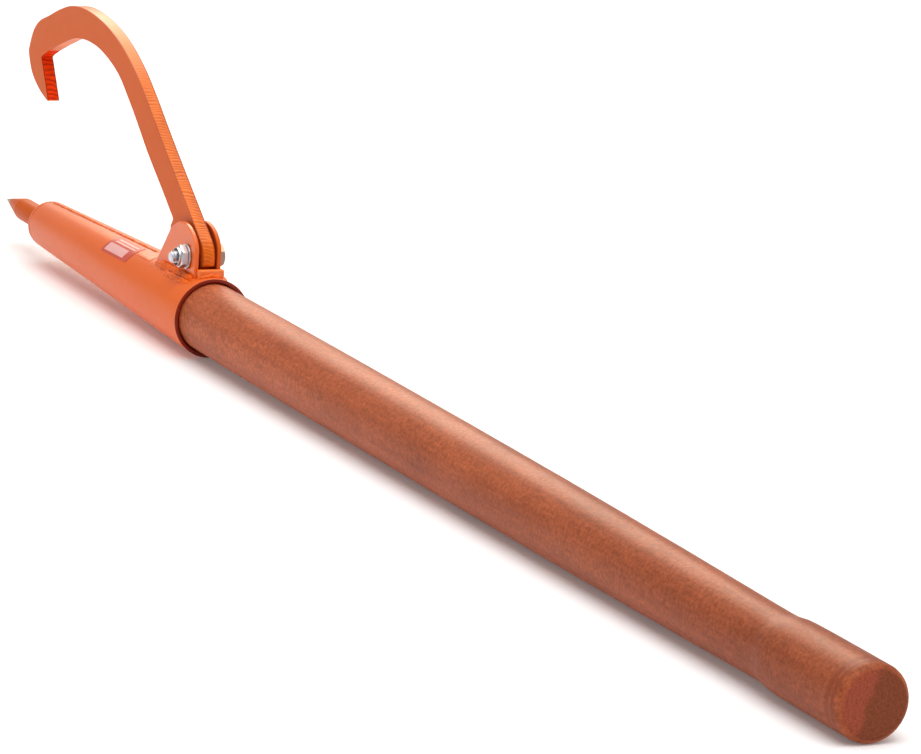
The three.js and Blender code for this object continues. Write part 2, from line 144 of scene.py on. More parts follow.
class PeaveySizes(bpy.types.PropertyGroup):
    """Sizes of the pieces, as the solids have them, and of their fine detail."""

    knob_radius: length_setting("Knob radius", "Radius of the knob at the grip", 20.1)
    socket_end_radius: length_setting(
        "Socket end radius", "Outside radius of the socket's small end", 16.2)
    lip_round: length_setting("Lip rounding", "Rounding of the socket's mouth", 0.5)
    hook_reach: length_setting("Hook reach", "From the pivot to the hook's nose", 319)
    hook_rise: length_setting("Hook rise", "From the pivot to the hook's crown", 124)
    heel_radius: length_setting("Heel radius", "Rear half of the hook's eye", 14)
    eye_radius: length_setting("Eye radius", "Front half of the hook's eye", 9.8)
    rim_bevel: length_setting("Rim bevel", "Rounding of the rims of the plates", 0.65)
    cut_pitch: length_setting(
        "Flame-cut pitch", "Distance between the ridges of a flame-cut edge", 3.6)
    cut_depth: length_setting(
        "Flame-cut depth", "Depth of the ridges of a flame-cut edge", 0.55)
    bolt_radius: length_setting("Bolt radius", "Outside radius of the pivot bolt", 4)
    bolt_clearance: length_setting(
        "Bolt clearance", "Between the bolt and the holes it passes through", 0.35)
    thread_pitch: length_setting("Thread pitch", "Pitch of the pivot bolt's thread", 1.25)
    hexagon_flats: length_setting(
        "Hexagon flats", "Width across the flats of the bolt's head and the nut", 13)
    washer_radius: length_setting("Washer radius", "Outside radius of the washer", 8)
    label_length: length_setting("Label length", "Along the socket", 47)
    label_width: length_setting("Label width", "Round the socket", 16.5)
    clear_film_length: length_setting("Clear film length", "Along the socket", 23)
    clear_film_width: length_setting("Clear film width", "Round the socket", 9.6)
    round_steps: IntProperty(
        name="Round steps", description="Steps of a full turn", default=160, min=24)


class PeaveyFinish(bpy.types.PropertyGroup):
    """Colours of the finishes."""

    paint: colour_setting("Paint", "Orange powder coat", 0.86, 0.14, 0.01)
    # A yellower, lighter copy of the powder coat for the hook's flame-cut edge and the cross bar:
    # painted light.
    lit_cut_paint: colour_setting(
        "Cut edge paint", "Powder coat over the hook's flame-cut edge", 0.88, 0.175, 0.012)
    # A redder copy of the powder coat for the inner face of the hook's tip: painted shade.
    shaded_tip_paint: colour_setting(
        "Tip paint", "Deeper coat on the inner face of the hook's tip", 1.0, 0.05, 0.002)
    # Dark colour: painted shade on the mouth's rim, beside the seam bead, in the hook's grooves and
    # on its rims and on the ears' inner faces; also the real pits and spatter of the welds.
    shade_and_spatter: colour_setting(
        "Edge paint", "Thin, dark paint on raw rims and in the grooves of cut edges",
        0.26, 0.018, 0.004)
    wood: colour_setting("Wood", "Stained wood between its pores", 0.45, 0.112, 0.043)
    wood_dark: colour_setting("Dark wood", "Darker grain of the stained wood", 0.22, 0.04, 0.016)
    end_grain: colour_setting(
        "End grain", "Redder half of the handle's end face", 0.32, 0.067, 0.033)
    end_grain_dark: colour_setting(
        "Dark end grain", "Browner half of the handle's end face", 0.215, 0.053, 0.022)
    zinc: colour_setting("Zinc", "Bright zinc plating", 0.6, 0.62, 0.66)
    dull_zinc: colour_setting(
        "Dull zinc", "Zinc of the bolt's head, dulled by handling", 0.42, 0.31, 0.235)
    bare_steel: colour_setting(
        "Bare steel", "Steel where the paint has worn off", 0.4, 0.36, 0.33)
    nylon: colour_setting("Nylon", "Ring in the lock nut", 0.012, 0.016, 0.028)
    label: colour_setting("Label", "Ground of the stuck-on label", 0.62, 0.075, 0.04)
    label_panel: colour_setting("Label panel", "Pale fields of the label", 0.86, 0.44, 0.41)
    floor: colour_setting("Floor", "Pale studio floor", 0.95, 0.95, 0.95)


def socket_radius(x):
    """Outside radius of the socket at a place along it."""
    end_radius = bpy.context.scene.peavey_sizes.socket_end_radius
    share = (MOUTH_X - x) / (MOUTH_X - CAP_X)
    return MOUTH_RADIUS + (end_radius - MOUTH_RADIUS) * share


# Materials

def new_material(name):
    """A material with its shader, and the coordinates that its patterns read."""
    material = bpy.data.materials.new(name)
    material.use_nodes = True
    tree = material.node_tree
    place = tree.nodes.new("ShaderNodeTexCoord").outputs["Object"]
    return material, tree, tree.nodes["Principled BSDF"], place


def feed(tree, value, socket):
    """Gives a socket its value: another node's output, or a fixed number or colour."""
    if isinstance(value, bpy.types.NodeSocket):
        tree.links.new(value, socket)
    else:
        socket.default_value = value


def stretched(tree, place, scale):
    """The coordinates drawn out along one or more axes."""
    mapping = tree.nodes.new("ShaderNodeMapping")
    mapping.inputs["Scale"].default_value = scale
    tree.links.new(place, mapping.inputs["Vector"])
    return mapping.outputs["Vector"]


def noise_field(tree, place, scale, detail=2.0, rough=0.5, distortion=0.0):
    """Even noise from 0 to 1."""
    field = tree.nodes.new("ShaderNodeTexNoise")
    field.inputs["Scale"].default_value = scale
    field.inputs["Detail"].default_value = detail
    field.inputs["Roughness"].default_value = rough
    field.inputs["Distortion"].default_value = distortion
    tree.links.new(place, field.inputs["Vector"])
    return field.outputs["Fac"]


def remap(tree, value, low, high, to_low=0.0, to_high=1.0):
    """A value moved from one range to another, and held inside it."""
    node = tree.nodes.new("ShaderNodeMapRange")
    node.inputs["From Min"].default_value = low
    node.inputs["From Max"].default_value = high
    node.inputs["To Min"].default_value = to_low
    node.inputs["To Max"].default_value = to_high
    tree.links.new(value, node.inputs["Value"])
    return node.outputs["Result"]


def spread(tree, field, low, high):
    """Noise, which mostly stays between 0.3 and 0.7, spread from low to high."""
    return remap(tree, field, 0.3, 0.7, low, high)


def blended(tree, factor, first, second, way="MIX"):
    """Two colours mixed by a factor; each is a socket or a fixed colour."""
    node = tree.nodes.new("ShaderNodeMix")
    node.data_type = "RGBA"
    node.blend_type = way
    for value, index in ((factor, 0), (first, 6), (second, 7)):
        feed(tree, value, node.inputs[index])
    return node.outputs[2]


def math_node(tree, way, first, *others):
    """Values put together one after another; each is a socket or a number."""
    for second in others or (0.0,):
        node = tree.nodes.new("ShaderNodeMath")
        node.operation = way
        feed(tree, first, node.inputs[0])
        feed(tree, second, node.inputs[1])
        first = node.outputs[0]
    return first


def band(tree, value, low, high, soft):
    """1 between low and high, falling to 0 over a soft width outside them."""
    rising = remap(tree, value, low - soft, low)
    falling = remap(tree, value, high, high + soft, 1, 0)
    return math_node(tree, "MULTIPLY", rising, falling)


def axes_of(tree, place):
    """The three parts of the coordinates, each by itself."""
    apart = tree.nodes.new("ShaderNodeSeparateXYZ")
    tree.links.new(place, apart.inputs[0])
    return apart.outputs


def add_bump(tree, shader, height, distance):
    """Relief in the shading from a height."""
    bump = tree.nodes.new("ShaderNodeBump")
    bump.inputs["Strength"].default_value = 1
    bump.inputs["Distance"].default_value = distance
    tree.links.new(height, bump.inputs["Height"])
    tree.links.new(bump.outputs["Normal"], shader.inputs["Normal"])


def set_gloss(shader, level, coat, coat_roughness):
    """Strength of the shader's reflections, and of the clear coat over them."""
    shader.inputs["Specular IOR Level"].default_value = level
    shader.inputs["Coat Weight"].default_value = coat
    shader.inputs["Coat Roughness"].default_value = coat_roughness


def shade_of(colour, factor):
    """A colour made lighter or darker."""
    return (*(min(1.0, part * factor) for part in colour[:3]), 1)


def mottled(tree, field, colour, amount):
    """A colour that a noise makes a little lighter and darker."""
    return blended(tree, field, shade_of(colour, 1 - amount), shade_of(colour, 1 + amount))


def paint_material(name, colour, mottle=0.05, rough=0.38, gloss=0.16, coat=0.05, pits=0.0):
    """Powder coat: an even colour with faint mottling, orange peel and, on welds, dark pits."""
    material, tree, shader, place = new_material(name)
    colour = mottled(tree, noise_field(tree, place, 14, 3), colour, mottle)
    if pits:
        spots = remap(tree, noise_field(tree, place, 620, 4, 0.75), 0.5, 0.36, 0, pits)
        colour = blended(tree, spots, colour, bpy.context.scene.peavey_finish.shade_and_spatter)
    tree.links.new(colour, shader.inputs["Base Color"])
    fine = noise_field(tree, place, 120, 2)
    tree.links.new(spread(tree, fine, rough - 0.02, rough + 0.02), shader.inputs["Roughness"])
    peel = 0.1 * MM if pits else 0.02 * MM
    add_bump(tree, shader, noise_field(tree, place, 700, 2), peel)
    set_gloss(shader, gloss, coat, 0.3)
    return material


def place_of(material):
    """The coordinates that a material's patterns read."""
    return material.node_tree.nodes["Texture Coordinate"].outputs["Object"]


def lay_over(material, mask, colour):
    """Lays a colour over a material's own where the mask is 1."""
    tree = material.node_tree
    base = tree.nodes["Principled BSDF"].inputs["Base Color"]
    tree.links.new(blended(tree, mask, base.links[0].from_socket, colour), base)


def lay_shade_and_spatter(material, mask):
    """Lays the dark colour over a paint where the mask is 1: painted shade, and round the welds
    their spatter.
    """
    lay_over(material, mask, bpy.context.scene.peavey_finish.shade_and_spatter)


def socket_material():
    """Powder coat in a slightly darker copy, painted shade, with painted shade on the mouth's rim
    and beside the seam bead, and spattered round the ears' welds.
    """
    # A slightly darker copy of the paint: painted shade.
    paint = shade_of(bpy.context.scene.peavey_finish.paint, 0.93)
    material = paint_material("socket_paint", paint, rough=0.46, gloss=0.26, coat=0.15)
    tree = material.node_tree
    place = place_of(material)
    x, y, z = axes_of(tree, place)
    # Painted shade on the end face of the mouth's rim.
    rim = remap(tree, x, MOUTH_X - 0.5 * MM, MOUTH_X - 0.2 * MM)
    low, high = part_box("ear_weld_near")
    along_weld = band(tree, x, low.x, high.x, 6 * MM)
    beside_ears = band(tree, math_node(tree, "ABSOLUTE", y), 8 * MM, 12.5 * MM, 3.5 * MM)
    flecks = remap(tree, noise_field(tree, place, 420, 4, 0.7), 0.52, 0.4, 0, 0.5)
    spatter = math_node(tree, "MULTIPLY", along_weld, beside_ears, flecks)
    # Painted shade: a thin, uneven dark line beside the seam bead.
    low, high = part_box("seam_weld")
    beside_seam = band(tree, y, low.y - 0.9 * MM, low.y - 0.4 * MM, 0.7 * MM)
    upper_side = remap(tree, z, 0, 5 * MM)
    along_seam = remap(tree, x, high.x, high.x - 8 * MM)
    uneven = remap(tree, noise_field(tree, place, 60, 3, 0.7), 0.35, 0.6, 0.1, 0.75)
    seam_shade = math_node(tree, "MULTIPLY", beside_seam, upper_side, along_seam, uneven)
    lay_shade_and_spatter(material, math_node(tree, "MAXIMUM", rim, spatter, seam_shade))
    return material


def hook_materials():
    """Finishes of the hook's flat sides, of its flame-cut edge and of its tip's inner face, with
    painted shade in the grooves and on the rims.
    """
    finish = bpy.context.scene.peavey_finish
    # The sides are a darker copy of the paint, painted shade; the cut edge takes the yellower copy,
    # painted light.
    side, cut = shade_of(finish.paint, 0.8), shade_of(finish.lit_cut_paint, 0.94)
    materials = [
        paint_material("hook_side_shaded_paint", side, 0.04, gloss=0.07, coat=0.0),
        paint_material("lit_cut_edge_paint", cut, 0.05, rough=0.32, gloss=0.12, coat=0.0),
        paint_material("hook_tip_paint", finish.shaded_tip_paint, 0.06, rough=0.5, gloss=0.03, coat=0.0),
    ]
    for material in materials:
        # Painted shade in the grooves and on the rims of the cut edge, as the cut_shade attribute
        # gives it.
        grooves = material.node_tree.nodes.new("ShaderNodeAttribute")
        grooves.attribute_name = "cut_shade"
        lay_shade_and_spatter(material, grooves.outputs["Fac"])
    return materials


def clevis_materials():
    """Finishes of the near ear, of the far ear in a darker copy as painted shade, both with painted
    shade on their inner faces, and of the bar in the yellower copy as painted light.
    """
    finish = bpy.context.scene.peavey_finish
    near = paint_material("near_plate_paint", finish.paint, rough=0.32, gloss=0.36, coat=0.1)
    # The far ear is a darker copy of the paint: painted shade.
    far = paint_material("far_plate_shaded_paint", shade_of(finish.paint, 0.82), gloss=0.12)
    # The bar takes the yellower copy of the paint: painted light.
    bar = paint_material("bar_paint", finish.lit_cut_paint, rough=0.3, gloss=0.5, coat=0.2)
    # Painted shade on the ears' inner faces, between them and the hook.
    for paint in (near, far):
        tree = paint.node_tree
        from_middle = math_node(tree, "ABSOLUTE", axes_of(tree, place_of(paint))["Y"])
        lay_shade_and_spatter(paint, remap(tree, from_middle, 6.1 * MM, 6.9 * MM, 0.62, 0))
    return near, far, bar


def spike_material():
    """A darker copy of the powder coat, painted shade, that is worn to bare steel at the point."""
    finish = bpy.context.scene.peavey_finish
    # A darker copy of the paint: painted shade.
    paint = shade_of(finish.paint, 0.7)
    material = paint_material("worn_and_shaded_spike_paint", paint, gloss=0.07, coat=0.0)
    tree = material.node_tree
    place = place_of(material)
    ragged = math_node(tree, "MULTIPLY", noise_field(tree, place, 350, 3), 14 * MM)
    along = math_node(tree, "ADD", axes_of(tree, place)["X"], ragged)
    worn = remap(tree, along, SPIKE_TIP_X + 14 * MM, SPIKE_TIP_X + 22 * MM, 1, 0)
    lay_over(material, worn, finish.bare_steel)
    metallic = tree.nodes["Principled BSDF"].inputs["Metallic"]
    tree.links.new(math_node(tree, "MULTIPLY", worn, 0.8), metallic)
    return material


def wood_material():
    """Reddish stained wood: grain along the handle, short dark pores, painted light that fades from
    the mouth to the knob, and a duller end face.
    """
    finish = bpy.context.scene.peavey_finish
    material, tree, shader, place = new_material("stained_wood")
    x, y, z = axes_of(tree, place)
    streaks = noise_field(tree, stretched(tree, place, (2.5, 70, 70)), 1.6, 4, 0.6, 0.4)
    fibres = noise_field(tree, stretched(tree, place, (40, 460, 460)), 1.3, 3, 0.65)
    pores = noise_field(tree, stretched(tree, place, (520, 900, 900)), 1.0, 3, 0.65)
    blotch = noise_field(tree, stretched(tree, place, (16, 34, 34)), 1.0, 4, 0.62)
    mottle = noise_field(tree, place, 430, 3, 0.7)
    light_streaks = remap(tree, streaks, 0.32, 0.68, 0.35, 1)
    grain = blended(tree, light_streaks, finish.wood_dark, finish.wood)
    grain = blended(tree, 0.6, finish.wood, grain)
    # Painted light: the wood is lighter towards the mouth and darker towards the knob.
    painted_light_falloff = remap(tree, x, -800 * MM, -100 * MM, 1.12, 0.84)
    for level in (spread(tree, fibres, 0.87, 1.1), spread(tree, blotch, 0.87, 1.12),
                  spread(tree, mottle, 0.72, 1.3), painted_light_falloff):
        grain = blended(tree, 1.0, grain, level, "MULTIPLY")
    pore_mask = remap(tree, pores, 0.38, 0.46, 0.35, 0)
    grain = blended(tree, pore_mask, grain, finish.wood_dark)
    rings = math_node(
        tree, "MAXIMUM", band(tree, x, -12.5 * MM, -10.5 * MM, 2 * MM),
        band(tree, x, -7.5 * MM, -6 * MM, 1.5 * MM))
    grain = blended(tree, math_node(tree, "MULTIPLY", rings, 0.5), grain, finish.wood_dark)
    bend = math_node(tree, "MULTIPLY", noise_field(tree, place, 110, 3), 9 * MM)
    tilt = math_node(tree, "MULTIPLY", z, -0.28)
    across = remap(tree, math_node(tree, "ADD", y, bend, tilt), -1.5 * MM, 1.5 * MM)
    end_face = blended(tree, across, finish.end_grain, finish.end_grain_dark)
    speck = spread(tree, noise_field(tree, place, 800, 3, 0.6), 0.7, 1.25)
    end_face = blended(tree, 1.0, end_face, speck, "MULTIPLY")
    end_mask = remap(tree, x, -0.9 * MM, -0.3 * MM)
    tree.links.new(blended(tree, end_mask, grain, end_face), shader.inputs["Base Color"])
    dull_end = math_node(tree, "MULTIPLY", end_mask, 0.3)
    rough = math_node(tree, "ADD", spread(tree, fibres, 0.41, 0.51), dull_end)
    tree.links.new(rough, shader.inputs["Roughness"])
    depth = math_node(tree, "SUBTRACT", math_node(tree, "MULTIPLY", fibres, 0.4), pore_mask)
    add_bump(tree, shader, depth, 0.05 * MM)
    set_gloss(shader, 0.08, 0.06, 0.34)
    return material


def zinc_material():
    """Bright zinc with fine scratches, duller on the bolt's head."""
    finish = bpy.context.scene.peavey_finish
    material, tree, shader, place = new_material("bright_zinc")
    colour = mottled(tree, noise_field(tree, place, 320, 3), finish.zinc, 0.08)
    far_side = remap(tree, axes_of(tree, place)["Y"], 8 * MM, 9 * MM)
    tree.links.new(blended(tree, far_side, colour, finish.dull_zinc), shader.inputs["Base Color"])
    shader.inputs["Metallic"].default_value = 1.0
    scratch = noise_field(tree, stretched(tree, place, (2200, 500, 2200)), 1.0, 3)
    dull_head = math_node(tree, "MULTIPLY", far_side, 0.25)
    rough = math_node(tree, "ADD", spread(tree, scratch, 0.3, 0.36), dull_head)
    tree.links.new(rough, shader.inputs["Roughness"])
    add_bump(tree, shader, scratch, 0.004 * MM)
    return material


def plain_material(name, colour, rough, coat=0.0, mottle=0.04):
    """One colour with faint mottling and relief, for films, nylon and the floor."""
    material, tree, shader, place = new_material(name)
    cloud = noise_field(tree, place, 180, 3)
    tree.links.new(mottled(tree, cloud, colour, mottle), shader.inputs["Base Color"])
    tree.links.new(spread(tree, cloud, rough * 0.85, rough * 1.15), shader.inputs["Roughness"])
    add_bump(tree, shader, cloud, 0.02 * MM)
    set_gloss(shader, 0.28, coat, 0.1)
    return material


# Shapes

def new_object(name, data):
    """An object in the scene for a mesh, a curve, a light or a camera."""
    made = bpy.data.objects.new(name, data)
    bpy.context.scene.collection.objects.link(made)
    return made


def mesh_of(bm, name):
    """The mesh of a bmesh, which is freed."""
    mesh = bpy.data.meshes.new(name)
    bm.to_mesh(mesh)
    bm.free()
    return mesh


def shaped_mesh(thing):
    """An object's mesh as its curve's settings or its modifiers shape it."""
    bpy.context.view_layer.update()
    return bpy.data.meshes.new_from_object(
        thing.evaluated_get(bpy.context.evaluated_depsgraph_get()))


def finish_piece(bm, name, materials, node, body="root", sharp_angle=35, flat_axis=None):
    """Makes the mesh an object that stands for a node of the frame and rides on its body."""
    mesh = mesh_of(bm, name)
    for material in materials:
        mesh.materials.append(material)
    mesh.shade_smooth()
    mesh.set_sharp_from_angle(angle=math.radians(sharp_angle))
    if flat_axis is not None:
        for polygon in mesh.polygons:
            polygon.use_smooth = abs(polygon.normal[flat_axis]) < 0.9999
    piece = new_object(name, mesh)
    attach(piece, body)
    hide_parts(node)
    return piece


def cut_along(bm, point, normal, clear_inner=False, clear_outer=False):
    """Cuts the whole mesh along a plane, and may drop what lies to one side of it."""
    bmesh.ops.bisect_plane(
        bm, geom=bm.verts[:] + bm.edges[:] + bm.faces[:], dist=0.001 * MM,
        plane_co=point, plane_no=normal, clear_outer=clear_outer, clear_inner=clear_inner)


def half_section(node):
    """The edges where a turned node meets the plane y = 0, above its axis."""
    bm = bmesh.new()
    bm.from_mesh(frame["nodes"][node].data)
    bmesh.ops.remove_doubles(bm, verts=bm.verts, dist=JOIN_DISTANCE)
    cut_along(bm, ORIGIN, Y_AXIS, clear_inner=True, clear_outer=True)
    cut_along(bm, ORIGIN, Z_AXIS, clear_inner=True)
    bmesh.ops.remove_doubles(bm, verts=bm.verts, dist=0.01 * MM)
    return bm


def walk(bm):
    """The points of an open chain of edges, from its end with the lowest x."""
    ends = [v for v in bm.verts if len(v.link_edges) == 1]
    vert = min(ends, key=lambda v: v.co.x)
    points, edge = [vert.co.copy()], None
    while True:
        following = [e for e in vert.link_edges if e is not edge]
        if not following:
            return points
        edge = following[0]
        vert = edge.other_vert(vert)
        points.append(vert.co.copy())


def smooth_line(points, step, corner=math.radians(30)):
    """A line through the points that is smooth except at its corners."""
    last = len(points) - 1

    def tangent(i):
        before, here, after = points[max(i - 1, 0)], points[i], points[min(i + 1, last)]
        if 0 < i < last and (here - before).angle(after - here, 0) > corner:
            return None
        return (after - before).normalized()

    line = [points[0]]
    for i in range(last):
        a, b = points[i], points[i + 1]
        length = (b - a).length
        straight = (b - a).normalized()
        start, end = tangent(i) or straight, tangent(i + 1) or straight
        steps = max(1, round(length / step))
        line += interpolate_bezier(
            a, a + start * length / 3, b - end * length / 3, b, steps + 1)[1:]
    return line


def spline(points, step):
    """A curve through the points with even weights, as the hook's outline has."""
    last = len(points) - 1
    line = [points[0]]
    for i in range(last):
        a, b = points[i], points[i + 1]
        start = (b - points[max(i - 1, 0)]) / 6
        end = (points[min(i + 2, last)] - a) / 6
        steps = max(2, round((b - a).length / step))
        line += interpolate_bezier(a, a + start, b - end, b, steps + 1)[1:]
    return line


def between(low, high, step):
    """Evenly spaced values from low to high."""
    count = max(2, round(abs(high - low) / step))
    return [low + (high - low) * i / count for i in range(count + 1)]


def straight_line(start, end, step):
    """Evenly spaced points from start to end."""
    count = max(2, round((end - start).length / step))
    return [start.lerp(end, i / count) for i in range(count + 1)]


def around_pivot(radius, angle, y=0.0):
    """A point at an angle about the pivot's line."""
    return PIVOT + Vector((math.cos(angle), 0, math.sin(angle))) * radius + Vector((0, y, 0))


def chain(bm, points, closed=False):
    """Joins vertices at the points by edges in order, and returns the edges."""
    verts = [bm.verts.new(point) for point in points]
    pairs = list(zip(verts, verts[1:])) + ([(verts[-1], verts[0])] if closed else [])
    return [bm.edges.new(pair) for pair in pairs]


def round_corners(bm, radius, smallest_turn=math.radians(25)):
    """Rounds the corners of a chain of edges."""
    corners = []
    for vert in bm.verts:
        if len(vert.link_edges) == 2:
            arms = [edge.other_vert(vert).co - vert.co for edge in vert.link_edges]
            if math.pi - arms[0].angle(arms[1]) > smallest_turn:
                corners.append(vert)
    bmesh.ops.bevel(
        bm, geom=corners, offset=radius, affect="VERTICES", segments=4, profile=0.5, material=-1)


def close_skin(bm):
    """Joins doubles and turns every face outwards."""
    bmesh.ops.remove_doubles(bm, verts=bm.verts, dist=JOIN_DISTANCE)
    bmesh.ops.dissolve_degenerate(bm, dist=0.0005 * MM, edges=bm.edges)
    bmesh.ops.recalc_face_normals(bm, faces=bm.faces)


def turn(bm, steps, centre=ORIGIN, axis=X_AXIS):
    """Turns the chain of edges about a line, at first the handle's, into a closed skin."""
    bmesh.ops.spin(
        bm, geom=bm.verts[:] + bm.edges[:], cent=centre, axis=axis, angle=math.tau,
        steps=steps, use_merge=True)
    close_skin(bm)


def turned_piece(name, node, material, corner=0.0, smallest_turn=math.radians(25)):
    """A piece turned about the handle's axis from its solid's section, with rounded corners."""
    bm = half_section(node)
    if corner:
        round_corners(bm, corner, smallest_turn)
    turn(bm, bpy.context.scene.peavey_sizes.round_steps)
    finish_piece(bm, name, [material], node)


def plate(outline, low_y, high_y):
    """A plate in the XZ plane with the bolt's hole at the pivot and rounded rims."""
    sizes = bpy.context.scene.peavey_sizes
    hole_radius, hole_steps = sizes.bolt_radius + sizes.bolt_clearance, 48
    bm = bmesh.new()
    edges = chain(bm, [Vector((p.x, low_y, p.z)) for p in outline], closed=True)
    turns = (math.tau * i / hole_steps for i in range(hole_steps))
    edges += chain(bm, [around_pivot(hole_radius, angle, low_y) for angle in turns], closed=True)
    bmesh.ops.triangle_fill(bm, use_beauty=True, edges=edges)
    far = bmesh.ops.extrude_face_region(bm, geom=bm.faces[:])["geom"]
    moved = [v for v in far if isinstance(v, bmesh.types.BMVert)]
    bmesh.ops.translate(bm, verts=moved, vec=(0, high_y - low_y, 0))
    bmesh.ops.recalc_face_normals(bm, faces=bm.faces)
    rim_angle = 1.2
    rims = [e for e in bm.edges if len(e.link_faces) == 2 and e.calc_face_angle(0) > rim_angle
            and abs(e.verts[0].co.y - e.verts[1].co.y) < 0.01 * MM]
    bmesh.ops.bevel(
        bm, geom=rims, offset=sizes.rim_bevel, affect="EDGES", segments=3, profile=0.5,
        material=-1, clamp_overlap=True)
    return bm


# Pieces

class PEAVEY_OT_handle(bpy.types.Operator):
    """Turned wooden handle, with its knob and its tapered end in the socket"""

    bl_idname = "peavey.handle"
    bl_label = "Handle"

    def execute(self, context):
        section = half_section("handle")
        profile = smooth_line(walk(section), 4 * MM)
        section.free()
        self.smooth_neck(profile)
        wavy_to, waviness = -20 * MM, 0.08 * MM
        for point in profile:
            if MOUTH_X < point.x < wavy_to:
                point.z += noise.noise(Vector((point.x * 22, 0, 7))) * waviness
        bm = bmesh.new()
        chain(bm, profile)
        turn(bm, context.scene.peavey_sizes.round_steps)
        finish_piece(
            bm, "turned_handle", [wood_material()], "handle", sharp_angle=50)
        return {"FINISHED"}

    def smooth_neck(self, profile):
        """Evens out the flare from the neck to the knob."""
        neck_start, neck_end, rounds = -140 * MM, -60 * MM, 12
        for _ in range(rounds):
            heights = [point.z for point in profile]
            for i, point in enumerate(profile[1:-1], 1):
                if neck_start < point.x < neck_end:
                    point.z = (heights[i - 1] + heights[i] * 2 + heights[i + 1]) / 4


class PEAVEY_OT_socket(bpy.types.Operator):
    """Tapered tube of the socket with a rounded mouth"""

    bl_idname = "peavey.socket"
    bl_label = "Socket"

    def execute(self, context):
        lip_round = context.scene.peavey_sizes.lip_round
        turned_piece("socket_tube", "socket_shell", socket_material(), lip_round)
        return {"FINISHED"}


class PEAVEY_OT_end_cap(bpy.types.Operator):
    """Disc with a rounded rim that closes the small end of the socket"""

    bl_idname = "peavey.end_cap"
    bl_label = "End cap"

    def execute(self, context):
        paint = bpy.data.materials["socket_paint"]
        turned_piece("socket_cap", "socket_end_cap", paint)
        return {"FINISHED"}


class PEAVEY_OT_spike(bpy.types.Operator):
    """Round pointed bar through the cap"""

    bl_idname = "peavey.spike"
    bl_label = "Spike"

    def execute(self, context):
        turned_piece(
            "pointed_spike", "spike", spike_material(), 1.2 * MM, math.radians(10))
        return {"FINISHED"}


def bead_core(name, passes):
    """Round bars along the weld passes, each a radius and its points, with tapered ends."""
    curve = bpy.data.curves.new(name, "CURVE")
    curve.dimensions = "3D"
    curve.bevel_depth = 1 * MM
    curve.bevel_resolution = 6
    curve.use_fill_caps = True
    for radius, points in passes:
        line = curve.splines.new("POLY")
        line.points.add(len(points) - 1)
        for i, (target, point) in enumerate(zip(line.points, points)):
            from_end = min(i, len(points) - 1 - i) / 8
            target.co = (*point, 1)
            target.radius = radius / MM * min(1.0, 0.45 + 0.55 * from_end)
    holder = new_object(name + "_line", curve)
    mesh = shaped_mesh(holder)
    bpy.data.objects.remove(holder)
    bm = bmesh.new()
    bm.from_mesh(mesh)
    bpy.data.meshes.remove(mesh)
    bpy.data.curves.remove(curve)
    close_skin(bm)
    bm.normal_update()
    return bm


def bead(name, node, passes, material, ripple_pitch, ripple, lump, seed):
    """A weld with ripples across its passes and uneven lumps."""
    bm = bead_core(name, passes)
    first = passes[0][1]
    start = first[0]
    direction = (first[-1] - start).normalized()
    offset = Vector((seed, seed * 2, 0))
    moves = []
    for vert in bm.verts:
        from_start = vert.co - start
        along = from_start.dot(direction)
        across = (from_start - direction * along).length
        wave = math.sin(math.tau * (along + across * 0.5) / ripple_pitch)
        wobble = noise.fractal(vert.co * 210 + offset, 0.5, 2.0, 4)
        moves.append(vert.normal * (wave * ripple + wobble * lump))
    for vert, move in zip(bm.verts, moves):
        vert.co += move
    finish_piece(bm, name, [material], node)


def on_socket(x, y, lift=0.0):
    """The point on the socket's upper side at x and y, raised by a little."""
    radius = socket_radius(x)
    return Vector((x, y, math.sqrt(radius * radius - y * y) + lift))


class PEAVEY_OT_welds(bpy.types.Operator):
    """Weld beads of the seam, the ears, the cross bar and the spike"""

    bl_idname = "peavey.welds"
    bl_label = "Welds"

    def execute(self, context):
        paint = context.scene.peavey_finish.paint
        material = paint_material("bead_paint", paint, 0.12, pits=0.5)
        low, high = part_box("seam_weld")
        seam = [on_socket(x, 0, lift=-0.75 * MM) for x in between(low.x, high.x, 1 * MM)]
        bead("seam_bead", "seam_weld", [(1.75 * MM, seam)], material,
             ripple_pitch=3.2 * MM, ripple=0.08 * MM, lump=0.45 * MM, seed=3)
        self.weld_ear("ear_weld_near", "near_ear_bead", 11, material)
        self.weld_ear("ear_weld_far", "far_ear_bead", 23, material)
        low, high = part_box("cross_bar_weld")
        across = between(low.y + 2 * MM, high.y - 2 * MM, WELD_STEP)
        fillet = [on_socket(low.x, y, lift=0.2 * MM) for y in across]
        bead("cross_bar_bead", "cross_bar_weld", [(2.1 * MM, fillet)], material,
             ripple_pitch=3.8 * MM, ripple=0.15 * MM, lump=0.6 * MM, seed=31)
        bm, lump = half_section("spike_weld"), 0.3 * MM
        turn(bm, context.scene.peavey_sizes.round_steps)
        for vert in bm.verts:
            vert.co += vert.normal * noise.noise(vert.co * 300) * lump
        finish_piece(bm, "spike_bead", [material], "spike_weld")
        return {"FINISHED"}

    def weld_ear(self, node, name, seed, material):
        """A long pass along the ear's foot, and a shorter one below its rear half."""
        low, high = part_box(node)
        side = -1 if low.y < 0 else 1
        foot_y = side * min(abs(low.y), abs(high.y))
        upper_y, lower_y = foot_y + side * 0.6 * MM, foot_y + side * 4 * MM
        lower_start = (low.x + high.x) / 2 - 8 * MM
        upper_xs = between(low.x, high.x, WELD_STEP)
        lower_xs = between(lower_start, high.x + 1 * MM, WELD_STEP)
        upper = [on_socket(x, upper_y, lift=-0.1 * MM) for x in upper_xs]
        lower = [on_socket(x, lower_y, lift=-0.9 * MM) for x in lower_xs]
        bead(name, node, [(2.9 * MM, upper), (2.4 * MM, lower)], material,
             ripple_pitch=4.6 * MM, ripple=0.12 * MM, lump=0.62 * MM, seed=seed)


